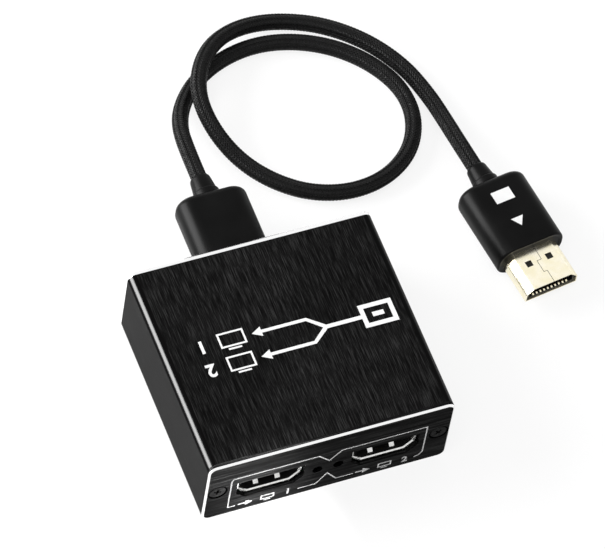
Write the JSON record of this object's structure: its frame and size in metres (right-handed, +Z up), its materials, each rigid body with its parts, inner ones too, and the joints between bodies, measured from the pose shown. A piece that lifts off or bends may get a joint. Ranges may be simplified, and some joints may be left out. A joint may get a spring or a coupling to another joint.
{
  "type": "video signal splitter",
  "caption": "Compact metal-cased video splitter that repeats the signal of its rear port on its front ports, with a short braided cable plugged in at the back.",
  "frame": {"origin": "middle of the underside of the case, on the surface that it rests on", "axes": "+X to the right across the width of the case as seen from its front, +Y from the front panel with the outputs to the rear panel with the input, +Z up"},
  "size_m": [0.1064, 0.1256, 0.022],
  "materials": {
    "sleeve": "black anodised, brushed",
    "panel": "black anodised, brushed",
    "screw": "black oxide",
    "port_shell": "nickel plated",
    "port_moulding": "moulded",
    "contact": "gold plated",
    "plug_shell": "pale gold plated",
    "plug_housing": "satin moulded",
    "strain_relief": "moulded",
    "cord": "braided sleeve",
    "board": "solder mask",
    "chip_package": "moulded",
    "metal_can": "drawn can",
    "ferrite": "sintered",
    "ceramic": "fired",
    "indicator": "clear moulded"
  },
  "bodies": {
    "case": {"case_tube": "sleeve", "front_panel": "panel", "rear_panel": "panel", "front_screws": "screw", "rear_screws": "screw", "circuit_board": "board", "output_port_1_shell": "port_shell", "output_port_1_insulator": "port_moulding", "output_port_1_contacts": "contact", "output_port_2_shell": "port_shell", "output_port_2_insulator": "port_moulding", "output_port_2_contacts": "contact", "input_port_shell": "port_shell", "input_port_insulator": "port_moulding", "input_port_contacts": "contact", "power_port_shell": "port_shell", "power_port_insulator": "port_moulding", "power_port_contacts": "contact", "output_leds": "indicator", "power_led": "indicator", "splitter_chip": "chip_package", "memory_chip": "chip_package", "crystal": "metal_can", "voltage_regulator": "chip_package", "power_inductor": "ferrite", "bulk_capacitor": "metal_can", "ceramic_capacitors": "ceramic", "resistors": "ferrite"},
    "input_cable": {"input_plug_shell": "plug_shell", "input_plug_insulator": "port_moulding", "input_plug_contacts": "contact", "input_plug_housing": "plug_housing", "input_strain_relief": "strain_relief", "cable": "cord", "far_strain_relief": "strain_relief", "far_plug_housing": "plug_housing", "far_plug_shell": "plug_shell", "far_plug_insulator": "port_moulding", "far_plug_contacts": "contact"}
  },
  "joints": [
    {"name": "input_plug_slide", "type": "slide", "parent": "case", "child": "input_cable", "axis": [0, 1, 0], "range_m": [0, 0.015]}
  ]
}
